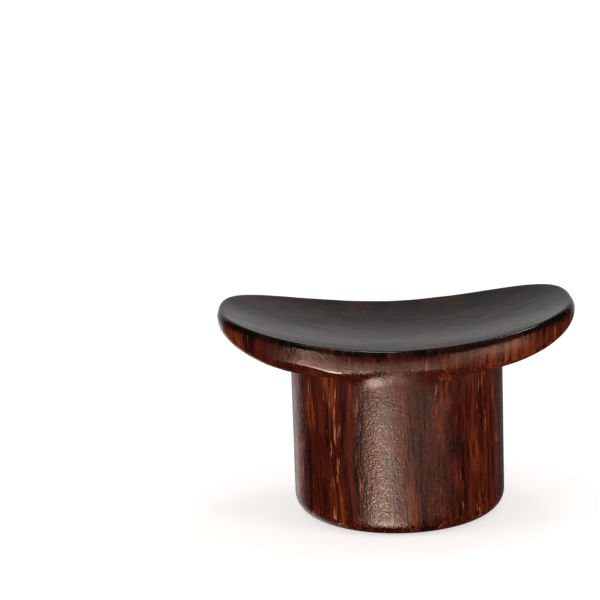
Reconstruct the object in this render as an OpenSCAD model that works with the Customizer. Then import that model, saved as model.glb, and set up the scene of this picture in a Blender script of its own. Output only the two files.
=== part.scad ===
// Stretched labret: a plug for a stretched lip piercing, turned and carved from one piece of wood.
// The round barrel passes through the lip, and the oval flange stays behind it, against the gum.
// The origin is at the middle of the barrel's free end. +Z runs to the flange, and X along it.

/* [Barrel] */
// Diameter of the barrel, which is the size of the piercing
barrel_d = 12; // [9:0.5:12]
// Length of the barrel from its free end to the middle of the flange's underside
wear_l = 8.4; // [6:0.1:12]
// Rounding of the edge round the free end
end_round = 1; // [0.3:0.1:1.5]

/* [Flange outline] */
// Length of the flange at its lower edge
flange_l = 20; // [19:0.5:24]
// Width of the flange at its lower edge
flange_w = 12.3; // [12.3:0.1:14]
// How far the wall leans in on each long side, from its lower edge to its rim
wall_lean = 0.1; // [0:0.05:0.2]
// How far the wall bulges out at half its height
wall_bulge = 0.05; // [0:0.01:0.1]
// Fullness of the outline, where 2 is an ellipse and more is squarer at the ends
fullness = 2.8; // [2.4:0.1:3.2]

/* [Flange section] */
// Thickness of the flange at its middle
flange_t = 1.6; // [1.4:0.1:2.2]
// Thickness of the flange at its two tips
tip_t = 1.15; // [1:0.05:1.5]
// Rise of the dished face from its middle to each tip
face_rise = 2.1; // [1.2:0.1:2.6]
// Rise of the dished face, and of the underside by the barrel, from the middle to each long side
face_crown = 0.7; // [0:0.1:1]
// Rounding of the rim at the long sides
rim_round = 0.25; // [0.15:0.05:0.4]
// Rounding of the rim at the two tips
rim_tip_round = 0.4; // [0.15:0.05:0.5]
// Rounding of the lower edge
under_round = 0.6; // [0.3:0.05:0.7]

/* [Hidden] */

// Height of the underside and of the face at the flange's middle
under_z = wear_l;
face_z = wear_l + flange_t;
// Half length and half width of the outline at the lower edge and at the rim
half_l = flange_l / 2;
half_w = flange_w / 2;
rim_half_w = half_w - wall_lean;
// Radii of the face and of the underside along the flange, each an arc through its middle and its tips
face_r = arc_radius(half_l, face_rise);
under_r = arc_radius(half_l, face_rise + flange_t - tip_t);
// The lower edge's rounding gives way to the rim's where the tips are thin
least_wall = 0.05;
low_round = min(under_round, tip_t - rim_tip_round - least_wall);
// Power with which the underside's rise to the long sides fades from the middle towards the tips
crown_fade = 2.5;
// Heights of the underside round the barrel, over a quarter of the turn
meeting = [for (a = [0 : 7.5 : 90]) under_at(barrel_d / 2 * [cos(a), sin(a)])];
// Just below the underside the barrel starts to widen a little, and it ends just inside the flange
flare = 0.07;
flare_z = min(meeting) - 0.1;
barrel_top = max(meeting) + 0.05;
// Points round the outline, steps over each rounding, over the wall, and from the middle to an edge
around = 96;
round_steps = 4;
wall_steps = 3;
dish_steps = 6;
// Power with which the rim's rounding grows from the long sides towards the tips
round_growth = 3;

// Radius of an arc that rises by h over a run of l from its lowest point
function arc_radius(l, h) = (l * l + h * h) / (2 * h);

// A curve's height above its lowest point, at x, for a radius r
function sag(x, r) = r - sqrt(r * r - x * x);

// Height of the dished face over a point
function face_at(p) = face_z + sag(p.x, face_r) + face_crown * pow(p.y / rim_half_w, 2);

// Height of the underside over a point
function under_at(p) =
    let (fade = pow(max(0, 1 - pow(p.x / half_l, 2)), crown_fade))
    under_z + sag(p.x, under_r) + face_crown * fade * pow(p.y / half_w, 2);

// Point of the full oval with half width w, at angle a
function oval(a, w) =
    let (k = pow(pow(abs(cos(a)), fullness) + pow(abs(sin(a)), fullness), -1 / fullness))
    [half_l * k * cos(a), w * k * sin(a)];

// Outward direction of that oval, at its point p
function outward(p, w) =
    let (
        u = sign(p.x) * pow(abs(p.x) / half_l, fullness - 1) / half_l,
        v = sign(p.y) * pow(abs(p.y) / w, fullness - 1) / w
    )
    [u, v] / norm([u, v]);

// Rounding of the rim at a point of the outline
function rim_round_at(p) =
    rim_round + (rim_tip_round - rim_round) * pow(abs(p.x) / half_l, round_growth);

// A point of the rounded lower edge, from the underside at turn 90 to the wall at turn 0
function lower_edge(a, turn) =
    let (
        edge = oval(a, half_w),
        p = edge - outward(edge, half_w) * low_round * (1 - cos(turn))
    )
    [p.x, p.y, under_at(p) + low_round * (1 - sin(turn))];

// A point of the rounded rim, from the wall at turn 0 to the dished face at turn 90
function rim(a, turn) =
    let (
        edge = oval(a, rim_half_w),
        r = rim_round_at(edge),
        p = edge - outward(edge, rim_half_w) * r * (1 - cos(turn))
    )
    [p.x, p.y, face_at(p) - r * (1 - sin(turn))];

// A point of the wall, at part t of the way from the lower edge to the rim
function wall(a, t) =
    let (
        p = lower_edge(a, 0) * (1 - t) + rim(a, 0) * t,
        out = outward(oval(a, half_w), half_w) * wall_bulge * sin(180 * t)
    )
    p + [out.x, out.y, 0];

// A point of the underside and one of the face, at part t of the way from the middle to the edge
function underside(a, t) =
    let (p = lower_edge(a, 90) * t)
    [p.x, p.y, under_at(p)];
function dish(a, t) =
    let (p = rim(a, 90) * t)
    [p.x, p.y, face_at(p)];

// Rings of points round the flange, from its underside over its wall to its face
angles = [for (i = [0 : around - 1]) 360 * i / around];
rings = concat(
    [for (k = [1 : dish_steps - 1]) [for (a = angles) underside(a, k / dish_steps)]],
    [for (k = [0 : round_steps]) [for (a = angles) lower_edge(a, 90 * (1 - k / round_steps))]],
    [for (k = [1 : wall_steps - 1]) [for (a = angles) wall(a, k / wall_steps)]],
    [for (k = [0 : round_steps]) [for (a = angles) rim(a, 90 * k / round_steps)]],
    [for (k = [1 : dish_steps - 1]) [for (a = angles) dish(a, 1 - k / dish_steps)]]
);

// A closed skin over rings of points, with a middle point at the bottom and one at the top
module skin(rings, bottom, top) {
    count = len(rings[0]);
    last = len(rings) - 1;
    low = (last + 1) * count;
    high = low + 1;
    points = concat([for (ring = rings) each ring], [bottom, top]);
    faces = [
        for (j = [0 : count - 1])
            let (n = (j + 1) % count)
            each concat(
                [[low, j, n]],
                [
                    for (k = [0 : last - 1])
                        let (b = k * count, t = b + count)
                        each [[b + j, t + n, b + n], [b + j, t + j, t + n]]
                ],
                [[high, last * count + n, last * count + j]]
            )
    ];
    polyhedron(points, faces);
}

// The oval flange, with its dished face up
module flange() {
    skin(rings, [0, 0, under_z], [0, 0, face_z]);
}

// The round barrel, with the rounded edge at its free end, and its flare up to the curved underside
module barrel() {
    r = barrel_d / 2;
    rotate_extrude($fn = around) {
        square([r - end_round, flare_z]);
        translate([0, end_round])
            square([r, flare_z - end_round]);
        polygon([[0, flare_z], [r, flare_z], [r + flare, barrel_top], [0, barrel_top]]);
        intersection() {
            translate([r - end_round, end_round])
                circle(end_round, $fn = around);
            square([r, end_round]);
        }
    }
}

module labret() {
    color([0.27, 0.11, 0.07]) {
        barrel();
        flange();
    }
}

labret();
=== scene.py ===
import math

import bmesh
import bpy
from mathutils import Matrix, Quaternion, Vector, noise


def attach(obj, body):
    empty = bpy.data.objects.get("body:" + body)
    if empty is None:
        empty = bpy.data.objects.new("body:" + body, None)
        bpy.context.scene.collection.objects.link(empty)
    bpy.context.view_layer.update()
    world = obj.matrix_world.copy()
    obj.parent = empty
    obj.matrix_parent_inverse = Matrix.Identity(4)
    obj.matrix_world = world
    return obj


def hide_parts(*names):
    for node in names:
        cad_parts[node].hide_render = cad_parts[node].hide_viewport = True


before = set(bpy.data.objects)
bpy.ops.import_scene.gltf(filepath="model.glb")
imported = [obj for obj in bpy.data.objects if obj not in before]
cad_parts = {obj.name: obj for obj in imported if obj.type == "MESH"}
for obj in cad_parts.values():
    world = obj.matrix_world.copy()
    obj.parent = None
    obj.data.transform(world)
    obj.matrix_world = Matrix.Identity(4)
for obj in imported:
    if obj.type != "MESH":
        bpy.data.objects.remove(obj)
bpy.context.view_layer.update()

# Camera: a long lens in front of the labret and a little above it, as in the photograph.
# It aims beside the labret's middle, so that the lens needs no shift, and it leans a little.
camera_azimuth = math.radians(-2.601)
camera_elevation = math.radians(16.275)
camera_distance = 0.1167
camera_lens = 122.39
camera_lean = math.radians(-2.099)
labret_middle = Vector((0, 0, 0.006))
aim = Vector((-0.005341, 0, 0.012243))


def direction(azimuth, elevation):
    """The way out to a camera or lamp: azimuth 0 is in front, and 90 degrees is at the right."""
    flat = math.cos(elevation)
    return Vector((math.sin(azimuth) * flat, -math.cos(azimuth) * flat, math.sin(elevation)))


camera = bpy.data.objects.new("camera", bpy.data.cameras.new("camera"))
bpy.context.collection.objects.link(camera)
camera.data.sensor_width = 36
camera.data.lens = camera_lens
camera.data.clip_start = 0.005
camera.data.clip_end = 10
camera.location = labret_middle + direction(camera_azimuth, camera_elevation) * camera_distance
level = (aim - camera.location).to_track_quat("-Z", "Y")
camera.rotation_mode = "QUATERNION"
camera.rotation_quaternion = level @ Quaternion((0, 0, 1), camera_lean)
bpy.context.scene.camera = camera

# Labret: a lip plug turned and carved from one piece of dense dark rosewood, with the grain along
# its barrel. The barrel is turned, the oval flange is shaped by hand, its face is hollowed to fit
# the gum, and the whole is sanded, oiled and polished by hand to a satin sheen.
MM = 0.001
quarter = math.pi / 2

# Sizes in millimetres, with the barrel's free end at height 0
barrel_r = 6.0
end_round = 1.0        # the rounding of the free end
wear_l = 8.4           # the height of the flange's underside, in its middle
flange_t = 1.6         # the flange's thickness in its middle
tip_t = 1.15           # and at its tips
half_l = 10.0          # the oval flange's half length
half_w = 6.15          # and its half width, at the foot of its wall
fullness = 2.8         # 2 would be an ellipse, and more is squarer
face_rise = 2.1        # how far the hollowed face rises to its tips
face_crown = 0.7       # how far it rises to its long sides
crown_fade = 2.5       # how soon the underside loses that second rise towards its tips
under_round = 0.6      # the rounding of the flange's lower edge
rim_round = 0.4        # the rounding of its rim
wall_lean = 0.04       # how far its wall leans inwards
wall_bulge = 0.02      # and how far the wall bulges

# The facet that a knife left on the lower edge: where it begins, at the left, and where it ends,
# both from nothing to full, and its upper corner, which falls away to the right
facet_begins = (-7.4, -5.8)
facet_ends = (-2.2, -4.2)
arris_falls = (-5.4, -3.0)
arris_drop = 0.6
arris_corner = 0.1
arris_turn = quarter / 3

rim_half_w = half_w - wall_lean
rim_start = quarter / 10
face_z = wear_l + flange_t


def arc_radius(run, rise):
    return (run * run + rise * rise) / (2 * rise)


face_r = arc_radius(half_l, face_rise)
under_r = arc_radius(half_l, face_rise + flange_t - tip_t)


def sag(x, radius):
    """How far an arc of this radius has risen at a distance x from its lowest point."""
    return radius - math.sqrt(radius * radius - x * x)


def face_height(x, y):
    return face_z + sag(x, face_r) + face_crown * (y / rim_half_w) ** 2


def under_height(x, y):
    fade = max(0, 1 - (x / half_l) ** 2) ** crown_fade
    return wear_l + sag(x, under_r) + face_crown * fade * (y / half_w) ** 2


def oval(a, width):
    """A point of the oval outline of half width `width`."""
    c, s = math.cos(a), math.sin(a)
    k = (abs(c) ** fullness + abs(s) ** fullness) ** (-1 / fullness)
    return Vector((half_l * k * c, width * k * s, 0))


def outward(p, width):
    """The outline's outward direction at its point p."""
    u = math.copysign((abs(p.x) / half_l) ** (fullness - 1) / half_l, p.x)
    v = math.copysign((abs(p.y) / width) ** (fullness - 1) / width, p.y)
    return Vector((u, v, 0)).normalized()


def smooth(low, high, value):
    """Runs smoothly from 0 at `low` to 1 at `high`, which may be the smaller of the two."""
    t = min(max((value - low) / (high - low), 0), 1)
    return t * t * (3 - 2 * t)


def lower_edge(a, turn):
    """The lower edge, from the wall at turn 0 to the underside at turn 90 degrees.

    It is rounded, but for the knife's facet at the front, towards the left tip.
    """
    edge = oval(a, half_w)
    inward = under_round * (1 - math.cos(turn))
    raised = under_round * (1 - math.sin(turn))
    facet = 0
    if edge.y < 0:
        facet = smooth(*facet_begins, edge.x) * smooth(*facet_ends, edge.x)
    arris_up = under_round * (1 - arris_drop * smooth(*arris_falls, edge.x))
    slant = arris_corner / math.hypot(under_round, arris_up)
    if turn < arris_turn:
        t = turn / arris_turn
        flat_in = under_round * slant * t * t
        flat_up = arris_up + arris_corner * (1 - t) ** 2 - arris_up * slant * t * t
    else:
        t = slant + (1 - slant) * (turn - arris_turn) / (quarter - arris_turn)
        flat_in = under_round * t
        flat_up = arris_up * (1 - t)
    inward += (flat_in - inward) * facet
    raised += (flat_up - raised) * facet
    p = edge - outward(edge, half_w) * inward
    return Vector((p.x, p.y, under_height(p.x, p.y) + raised))


def rim(a, turn):
    """The rounded rim, from the wall at turn 0 to the hollowed face at turn 90 degrees."""
    edge = oval(a, rim_half_w)
    p = edge - outward(edge, rim_half_w) * rim_round * (1 - math.cos(turn))
    return Vector((p.x, p.y, face_height(p.x, p.y) - rim_round * (1 - math.sin(turn))))


def wall(a, t):
    """The flange's wall, from the lower edge at t 0 to the rim at t 1."""
    p = lower_edge(a, 0).lerp(rim(a, rim_start), t)
    return p + outward(oval(a, half_w), half_w) * wall_bulge * math.sin(math.pi * t)


def under_line(a, q):
    """The underside from half way out, at q 0, to the lower edge at q 1 and the wall at q 2."""
    if q >= 1:
        return lower_edge(a, quarter * (2 - q))
    p = lower_edge(a, quarter) * (0.5 + 0.5 * q)
    return Vector((p.x, p.y, under_height(p.x, p.y)))


# The mesh has this many columns round the barrel, and these rows from the turned barrel's top,
# over the flange, to the middle of its face
columns = 240
barrel_top = 7.9
barrel_rows = 4
cove_rows = 9
under_rows = 8
facet_rows = 8
arris_rows = 4
wall_rows = 8
rim_rows = 8
face_rows = 30

# The cove where the barrel meets the flange is small at the sides, and wide at the front and back,
# where the flange hardly overhangs. It rolls up the barrel until it touches the underside, and
# the underside's rows then take a share of the way that is left to the wall.
cove_small = 0.22
cove_wide = 2.2
cove_narrows = 10
cove_tries = 30
line_steps = 160
under_share = 0.3


def flange_column(angle):
    """One column of the mesh, from the barrel's wall to the middle of the flange's face."""
    a = math.atan2(half_l * math.sin(angle), half_w * math.cos(angle))
    line = [under_line(a, 2 * k / line_steps) for k in range(line_steps + 1)]
    cove = cove_small + cove_wide * abs(math.sin(angle)) ** cove_narrows
    centre = barrel_r + cove
    low, high = barrel_top, wear_l + 2
    for _ in range(cove_tries):
        middle = (low + high) / 2
        if min(math.hypot(p.xy.length - centre, p.z - middle) for p in line) > cove:
            low = middle
        else:
            high = middle
    touch = min(line, key=lambda p: math.hypot(p.xy.length - centre, p.z - low))
    touch_q = 2 * line.index(touch) / line_steps
    touch_bend = math.atan2(touch.z - low, touch.xy.length - centre) % math.tau
    side = Vector((math.cos(angle), math.sin(angle), 0))
    touch_side = Vector((touch.x, touch.y, 0)).normalized()

    column = []
    for k in range(1, barrel_rows + 1):
        rise = barrel_top + (low - barrel_top) * k / barrel_rows
        column.append(side * barrel_r + Vector((0, 0, rise)))
    for k in range(1, cove_rows + 1):
        t = k / cove_rows
        bend = math.pi + (touch_bend - math.pi) * t
        out = side.slerp(touch_side, t) * (centre + cove * math.cos(bend))
        column.append(out + Vector((0, 0, low + cove * math.sin(bend))))
    edge_q = max(1, touch_q + under_share * (2 - touch_q))
    arris_q = max(2 - arris_turn / quarter, (edge_q + 2) / 2)
    spans = (
        (touch_q, edge_q, under_rows),
        (edge_q, arris_q, facet_rows),
        (arris_q, 2, arris_rows),
    )
    for start, end, rows in spans:
        column += [under_line(a, start + (end - start) * k / rows) for k in range(1, rows + 1)]
    column += [wall(a, k / wall_rows) for k in range(1, wall_rows + 1)]
    for k in range(1, rim_rows + 1):
        column.append(rim(a, rim_start + (quarter - rim_start) * k / rim_rows))
    lip = rim(a, quarter)
    for k in range(1, face_rows + 1):
        p = lip * (1 - k / face_rows)
        column.append(Vector((p.x, p.y, face_height(p.x, p.y))))
    return column


# The barrel and its free end are spun from one profile
end_rows = 9
round_rows = 10
side_rows = 20
weld = 1e-5
flat_r = barrel_r - end_round
side_l = barrel_top - end_round
profile = [(flat_r * k / end_rows, 0.0) for k in range(end_rows + 1)]
for k in range(1, round_rows + 1):
    turn = quarter * k / round_rows
    profile.append((flat_r + end_round * math.sin(turn), end_round - end_round * math.cos(turn)))
profile += [(barrel_r, end_round + side_l * k / side_rows) for k in range(1, side_rows + 1)]

bm = bmesh.new()
verts = [bm.verts.new((rho, 0, z)) for rho, z in profile]
edges = [bm.edges.new(pair) for pair in zip(verts, verts[1:])]
bmesh.ops.spin(
    bm, geom=verts + edges, cent=(0, 0, 0), axis=(0, 0, 1),
    angle=math.tau, steps=columns, use_merge=True,
)
bmesh.ops.remove_doubles(bm, verts=bm.verts, dist=weld)

# The flange grows from the barrel's open top, ring by ring
column_of = bm.verts.layers.int.new("column")
ring = [e for e in bm.edges if e.is_boundary]
for v in {v for e in ring for v in e.verts}:
    v[column_of] = round(math.atan2(v.co.y, v.co.x) / math.tau * columns) % columns
grid = [flange_column(math.tau * k / columns) for k in range(columns)]
for row in range(len(grid[0])):
    grown = bmesh.ops.extrude_edge_only(bm, edges=ring)["geom"]
    for v in grown:
        if isinstance(v, bmesh.types.BMVert):
            v.co = grid[v[column_of]][row]
    ring = [e for e in grown if isinstance(e, bmesh.types.BMEdge) and e.is_boundary]
bmesh.ops.remove_doubles(bm, verts=bm.verts, dist=weld)
bmesh.ops.recalc_face_normals(bm, faces=bm.faces)

# Where the surface cuts across the grain it shows end grain, on the free end not quite as fully
free_end_share = 0.75
end_grain = bm.verts.layers.float.new("end_grain")
bm.normal_update()
for v in bm.verts:
    if v.normal.z > 0:
        v[end_grain] = smooth(0.05, 0.22, v.normal.z)
    else:
        v[end_grain] = free_end_share * smooth(0.45, 0.95, -v.normal.z)

# Handling has rubbed the sharper edges smooth: a bend is in radians a millimetre
least_gap = 0.02
rubbed_edge = bm.verts.layers.float.new("rubbed_edge")
for v in bm.verts:
    bends = [0]
    for e in v.link_edges:
        if len(e.link_faces) == 2:
            one, other = (f.calc_center_median() for f in e.link_faces)
            gap = max((one - other).length, least_gap)
            bends.append(e.calc_face_angle_signed(0) / gap)
    v[rubbed_edge] = smooth(1.5, 3.5, max(bends))

# Hand sanding leaves the flange uneven, and the barrel less so, but the free end is flat
flat_end = 0.3
for v in bm.verts:
    if v.co.z < flat_end:
        continue
    on_flange = min(max((v.co.z - 8.2) / 0.6, 0), 1)
    broad = noise.noise(v.co * 0.35 + Vector((3.1, 7.7, 1.3)))
    small = noise.noise(v.co * 1.1 + Vector((9.4, 2.6, 5.8)))
    v.co += v.normal * (broad * (0.006 + 0.02 * on_flange) + small * (0.002 + 0.006 * on_flange))

bmesh.ops.scale(bm, vec=(MM, MM, MM), verts=bm.verts)
mesh = bpy.data.meshes.new("labret_body")
bm.to_mesh(mesh)
bm.free()
for face in mesh.polygons:
    face.use_smooth = True
labret = bpy.data.objects.new("labret_body", mesh)
bpy.context.collection.objects.link(labret)

wood = bpy.data.materials.new("oiled_rosewood")
wood.use_nodes = True
tree = wood.node_tree
polish = tree.nodes["Principled BSDF"]
polish.inputs["IOR"].default_value = 1.5


def feed(socket, value):
    """Links a node's output to a socket, or sets a plain value on it."""
    if isinstance(value, bpy.types.NodeSocket):
        tree.links.new(value, socket)
    else:
        socket.default_value = value


def calc(operation, *values):
    made = tree.nodes.new("ShaderNodeMath")
    made.operation = operation
    for socket, value in zip(made.inputs, values):
        feed(socket, value)
    return made.outputs[0]


def times(a, b):
    return calc("MULTIPLY", a, b)


def plus(a, b):
    return calc("ADD", a, b)


def vector(operation, *values):
    made = tree.nodes.new("ShaderNodeVectorMath")
    made.operation = operation
    for socket, value in zip(made.inputs, values):
        feed(socket, value)
    return made.outputs["Value" if operation == "LENGTH" else "Vector"]


def ramp(value, low, high, to_low=0.0, to_high=1.0):
    """Runs smoothly from to_low to to_high as value goes from low to high."""
    made = tree.nodes.new("ShaderNodeMapRange")
    made.interpolation_type = "SMOOTHSTEP"
    for socket, number in zip(made.inputs, (value, low, high, to_low, to_high)):
        feed(socket, number)
    return made.outputs["Result"]


def mix(factor, a, b):
    made = tree.nodes.new("ShaderNodeMix")
    made.data_type = "RGBA"
    feed(made.inputs[0], factor)
    feed(made.inputs[6], a)
    feed(made.inputs[7], b)
    return made.outputs[2]


def mask(name):
    """One of the masks that the mesh carries."""
    made = tree.nodes.new("ShaderNodeAttribute")
    made.attribute_name = name
    return made.outputs["Fac"]


def cloud(where, scale, detail, roughness):
    made = tree.nodes.new("ShaderNodeTexNoise")
    feed(made.inputs["Vector"], where)
    made.inputs["Scale"].default_value = scale
    made.inputs["Detail"].default_value = detail
    made.inputs["Roughness"].default_value = roughness
    return made.outputs["Fac"]


def pores(where, scale):
    """Round pores: the distance to each one's middle, and a number that belongs to it."""
    made = tree.nodes.new("ShaderNodeTexVoronoi")
    feed(made.inputs["Vector"], where)
    made.inputs["Scale"].default_value = scale
    split = tree.nodes.new("ShaderNodeSeparateColor")
    tree.links.new(made.outputs["Color"], split.inputs[0])
    return made.outputs["Distance"], split.outputs[0]


def draw_out(where, share):
    """Shrinks the heights to this share, so that a pattern is drawn out along the grain."""
    return vector("MULTIPLY", where, (1, 1, share))


# Places in millimetres, with the fibres along Z and wandering a little
in_metres = tree.nodes.new("ShaderNodeTexCoord").outputs["Object"]
in_mm = vector("MULTIPLY", in_metres, (1000, 1000, 1000))
drift = tree.nodes.new("ShaderNodeTexNoise")
drift.inputs["Scale"].default_value = 0.16
drift.inputs["Detail"].default_value = 1.0
feed(drift.inputs["Vector"], draw_out(in_mm, 0.6))
wander = vector("SUBTRACT", drift.outputs["Color"], (0.5, 0.5, 0.5))
fibre = vector("ADD", in_mm, vector("MULTIPLY", wander, (1.6, 1.6, 0)))
long_fibre = draw_out(fibre, 0.045)
short_fibre = draw_out(fibre, 0.09)

# Masks: end grain, rubbed edges, and the barrel, whose figure and relief are stronger than the
# flange's. The cloth hardly reaches the corner between the two, so it is duller there.
end_face = mask("end_grain")
rubbed = mask("rubbed_edge")
place = tree.nodes.new("ShaderNodeSeparateXYZ")
feed(place.inputs[0], in_mm)
height = place.outputs["Z"]
flange_starts = 8.8
barrel_ends = 8.0
on_barrel = ramp(height, flange_starts, barrel_ends, 0.45, 1.0)
corner = times(ramp(height, 7.0, 8.2), ramp(height, 9.2, 8.5))

# The figure: growth bands, streaks, hair lines, dark lines, and rows of short pale flecks
bands = cloud(long_fibre, 0.55, 3.0, 0.55)
streaks = cloud(long_fibre, 2.8, 3.0, 0.62)
hair = cloud(long_fibre, 8.0, 1.0, 0.5)
dark_lines = cloud(vector("ADD", long_fibre, (2.7, 9.1, 3.3)), 3.6, 1.0, 0.5)
flecks = cloud(vector("ADD", short_fibre, (7.1, 3.3, 0.9)), 8.0, 1.5, 0.5)
fleck_rows = cloud(vector("ADD", long_fibre, (1.7, 5.2, 8.1)), 1.1, 1.0, 0.5)
pore_gap, pore_number = pores(short_fibre, 4.0)


def soft_patch(point, stretch, reach):
    """A soft patch about a point of the surface, drawn out by `stretch` along the grain."""
    away = draw_out(vector("SUBTRACT", in_mm, point), 1 / stretch)
    return ramp(vector("LENGTH", away), reach, 0.0)


# Amber glows here and there in the figure, with one amber patch high on the barrel at its left.
# The wide patch on the flange's wall at its front right is painted sheen, where lamplight falls.
amber_and_painted_sheen = ramp(cloud(draw_out(fibre, 0.22), 0.7, 1.0, 0.5), 0.56, 0.70, 0.0, 0.7)
amber_and_painted_sheen = calc("MAXIMUM", amber_and_painted_sheen, soft_patch((-5.0, -3.4, 7.2), 3.5, 0.65))
# Painted sheen: this wide patch lightens the front right of the flange's wall in amber.
amber_and_painted_sheen = calc("MAXIMUM", amber_and_painted_sheen, times(soft_patch((5.6, -5.7, 10.8), 1.0, 4.5), 0.7))

dark_heart = (0.017, 0.0015, 0.0005, 1)
red_brown = (0.072, 0.0058, 0.0006, 1)
warm_brown = (0.150, 0.0175, 0.0018, 1)
# Amber, for the figure and for the painted sheen on the flange's front right
amber_and_sheen_colour = (0.290, 0.048, 0.0036, 1)
pale_fleck = (0.54, 0.17, 0.060, 1)
pore_brown = (0.010, 0.0015, 0.0008, 1)
end_dark = (0.006, 0.0032, 0.0028, 1)
end_brown = (0.028, 0.0085, 0.0055, 1)
end_red = (0.110, 0.033, 0.019, 1)

# Along the grain: brown from dark to warm, then each layer of the figure over it. The amber layer
# also carries the painted sheen on the flange's front right.
middle_shade = 0.53
shade = plus(times(bands, 0.4), times(streaks, 0.6))
contrast = ramp(height, flange_starts, barrel_ends, 0.65, 1.0)
shade = plus(times(calc("SUBTRACT", shade, middle_shade), contrast), middle_shade)
long_colour = mix(ramp(shade, 0.41, 0.52), dark_heart, red_brown)
long_colour = mix(ramp(shade, 0.52, 0.64), long_colour, warm_brown)
fleck = times(ramp(flecks, 0.60, 0.70), ramp(fleck_rows, 0.53, 0.66))
for share, colour in (
    (times(ramp(hair, 0.52, 0.68, 0.0, 0.5), on_barrel), warm_brown),
    (times(ramp(hair, 0.48, 0.32, 0.0, 0.6), on_barrel), dark_heart),
    # The amber layer: figure, and the painted sheen on the flange's front right
    (times(amber_and_painted_sheen, ramp(hair, 0.38, 0.6)), amber_and_sheen_colour),
    (times(ramp(dark_lines, 0.57, 0.72, 0.0, 0.8), on_barrel), pore_brown),
    (times(fleck, on_barrel), pale_fleck),
):
    long_colour = mix(share, long_colour, colour)

# Across the grain: almost black, with growth bands and a reddish dot at each pore
dot = times(ramp(pore_gap, 0.42, 0.12), ramp(pore_number, 0.1, 0.7, 0.3, 1.0))
end_colour = mix(ramp(bands, 0.42, 0.6), end_dark, end_brown)
end_colour = mix(times(dot, ramp(bands, 0.38, 0.6, 0.2, 0.8)), end_colour, end_red)
feed(polish.inputs["Base Color"], mix(end_face, long_colour, end_colour))

# Satin polish: smoother on the dense end grain and on rubbed edges, duller in the corner
uneven = cloud(in_mm, 1.4, 3.0, 0.6)
grit = cloud(in_mm, 9.0, 3.0, 0.75)
dullness = plus(ramp(uneven, 0.3, 0.7, 0.17, 0.23), times(grit, 0.10))
for share, change in ((end_face, -0.115), (corner, 0.09), (rubbed, -0.06)):
    dullness = plus(dullness, times(share, change))
feed(polish.inputs["Roughness"], dullness)

# Curved marks that a scraper left in the hollowed face, in arcs about one point
scraper_pivot = (2.9, 2.1, 0)
scraper_step = 0.22
reach = vector("LENGTH", vector("SUBTRACT", draw_out(in_mm, 0), scraper_pivot))
arc_band = times(ramp(reach, 2.2, 3.6), ramp(reach, 6.5, 4.2))
arcs = calc("SINE", times(reach, math.tau / scraper_step))
arcs = times(arcs, times(arc_band, ramp(uneven, 0.45, 0.6)))


def centred(pattern):
    return calc("SUBTRACT", pattern, 0.5)


def by_grain(along, across):
    """A depth in millimetres, which differs between long grain and end grain."""
    return ramp(end_face, 0.0, 1.0, along, across)


# The satin's relief is calmer on rubbed edges and on the flange. Hair lines and ridges run along
# the grain, and a pit lies at each pore of the end grain.
calm = ramp(rubbed, 0.0, 1.0, 1.0, 0.15)
mottle = times(centred(cloud(in_mm, 9.0, 1.5, 0.6)), by_grain(0.0175, 0.005))
ridges = cloud(draw_out(fibre, 0.14), 7.0, 1.0, 0.5)
ridges = times(centred(ridges), ramp(end_face, 0.0, 0.6, 0.006, 0.0))
satin = plus(mottle, plus(times(centred(grit), by_grain(0.007, 0.005)), ridges))
pit = times(ramp(pore_gap, 0.5, 0.1), end_face)
relief = times(times(satin, calm), on_barrel)
for layer in (
    times(hair, 0.002),
    times(dark_lines, -0.002),
    times(times(pit, calm), -0.0035),
    times(centred(uneven), by_grain(0.02, 0.013)),
    times(times(arcs, end_face), 0.0007),
):
    relief = plus(relief, layer)
bump = tree.nodes.new("ShaderNodeBump")
bump.inputs["Strength"].default_value = 1.0
bump.inputs["Distance"].default_value = MM
feed(bump.inputs["Height"], relief)
feed(polish.inputs["Normal"], bump.outputs["Normal"])

mesh.materials.append(wood)
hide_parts("labret")
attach(labret, "root")

# Floor: the plain pale matt sheet that the labret stands on, wide enough to fill the picture. It
# is lit from below as well, more so far away, so that shadows are faint and no edge shows. The
# polish doesn't mirror it.
floor_half = 1.5
near_glow = 0.65
far_glow = 1.0
floor_mesh = bpy.data.meshes.new("floor")
bm = bmesh.new()
bmesh.ops.create_grid(bm, x_segments=1, y_segments=1, size=floor_half)
bm.to_mesh(floor_mesh)
bm.free()
floor = bpy.data.objects.new("floor", floor_mesh)
bpy.context.collection.objects.link(floor)
floor.visible_glossy = False
sheet = bpy.data.materials.new("lit_pale_sheet")
sheet.use_nodes = True
tree = sheet.node_tree
matt = tree.nodes["Principled BSDF"]
matt.inputs["Base Color"].default_value = (0.8, 0.79, 0.79, 1)
matt.inputs["Roughness"].default_value = 0.6
matt.inputs["Emission Color"].default_value = (1, 1, 1, 1)
from_middle = vector("LENGTH", tree.nodes.new("ShaderNodeTexCoord").outputs["Object"])
feed(matt.inputs["Emission Strength"], ramp(from_middle, 0.1, 0.6, near_glow, far_glow))
floor_mesh.materials.append(sheet)

# Light: warm soft boxes, mostly low, which the polish mirrors: a tall narrow one and two lower
# ones at the front left, and weak wide ones in front and to both sides. Two plain ones are behind.
# The fills and the overhead one aren't mirrored. The room is dark, with a grey wall behind.
lamp_distance = 0.40
plain_white = (1, 1, 1)
warm_white = (1, 0.77, 0.61)


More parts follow.
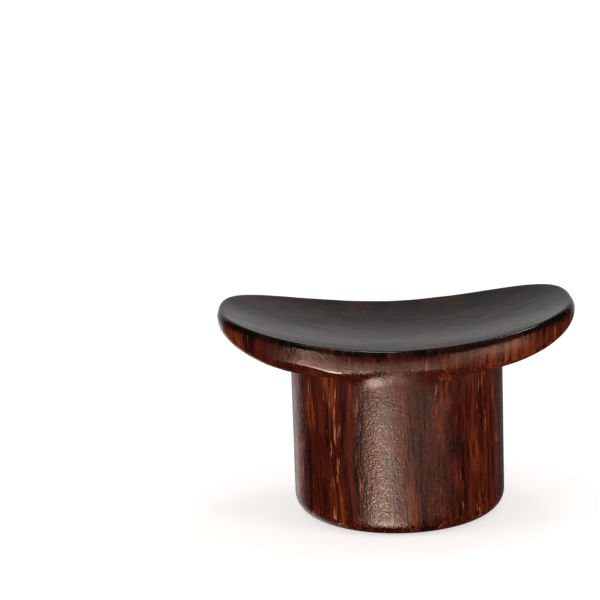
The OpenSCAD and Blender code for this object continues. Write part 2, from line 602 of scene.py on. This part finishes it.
def soft_box(name, azimuth, elevation, width, height, radiance, colour,
             mirrored=True, distance=lamp_distance):
    """A lamp at this azimuth and elevation in degrees, turned towards the labret's middle."""
    data = bpy.data.lights.new(name, "AREA")
    data.shape = "RECTANGLE"
    data.size = width
    data.size_y = height
    data.energy = radiance * math.pi * width * height
    data.color = colour
    lamp = bpy.data.objects.new(name, data)
    bpy.context.collection.objects.link(lamp)
    way = direction(math.radians(azimuth), math.radians(elevation))
    lamp.location = labret_middle + way * distance
    lamp.rotation_mode = "QUATERNION"
    lamp.rotation_quaternion = (-way).to_track_quat("-Z", "Y")
    lamp.visible_glossy = mirrored


soft_box("key", -21, -11, 0.034, 0.30, 9.0, warm_white)
soft_box("key_low", -19, -41, 0.08, 0.22, 26.0, warm_white)
soft_box("key_patch", -27, -30, 0.06, 0.16, 12.0, warm_white)
soft_box("left_wide", -40, -17, 0.09, 0.18, 0.5, warm_white)
soft_box("front", -5, -25, 0.16, 0.15, 3.5, warm_white)
soft_box("right", 38, -6.5, 0.14, 0.05, 5.8, warm_white)
soft_box("right_wide", 20, -6, 0.13, 0.055, 4.2, warm_white)
soft_box("high_back", 150, 72, 0.07, 0.07, 8.0, plain_white)
soft_box("fill_right", 60, 20, 0.10, 0.22, 7.0, warm_white, mirrored=False)
soft_box("fill_left", -80, 15, 0.10, 0.22, 8.0, warm_white, mirrored=False)
soft_box("behind", 205, -28, 0.12, 0.26, 1.0, plain_white)
soft_box("overhead", 0, 88, 1.0, 1.0, 0.9, plain_white, mirrored=False, distance=0.7)

# The room that the polish mirrors. The camera itself sees white past the floor.
wall_middle = (0.52, 0.515, 0.515, 1)
wall_top = (0.24, 0.235, 0.235, 1)
wall_foot = (0.14, 0.14, 0.14, 1)
dark_room = (0.012, 0.012, 0.012, 1)
world = bpy.data.worlds.new("room")
bpy.context.scene.world = world
world.use_nodes = True
tree = world.node_tree
look = tree.nodes.new("ShaderNodeSeparateXYZ")
feed(look.inputs[0], tree.nodes.new("ShaderNodeTexCoord").outputs["Generated"])
back_wall = mix(ramp(look.outputs["Z"], -0.15, 0.6), wall_middle, wall_top)
back_wall = mix(ramp(look.outputs["Z"], -0.12, -0.3), back_wall, wall_foot)
room = mix(ramp(look.outputs["Y"], 0.5, 0.95), dark_room, back_wall)
rays = tree.nodes.new("ShaderNodeLightPath")
seen = mix(rays.outputs["Is Camera Ray"], room, (1, 1, 1, 1))
feed(tree.nodes["Background"].inputs["Color"], seen)
bpy.context.scene.view_settings.view_transform = "Standard"
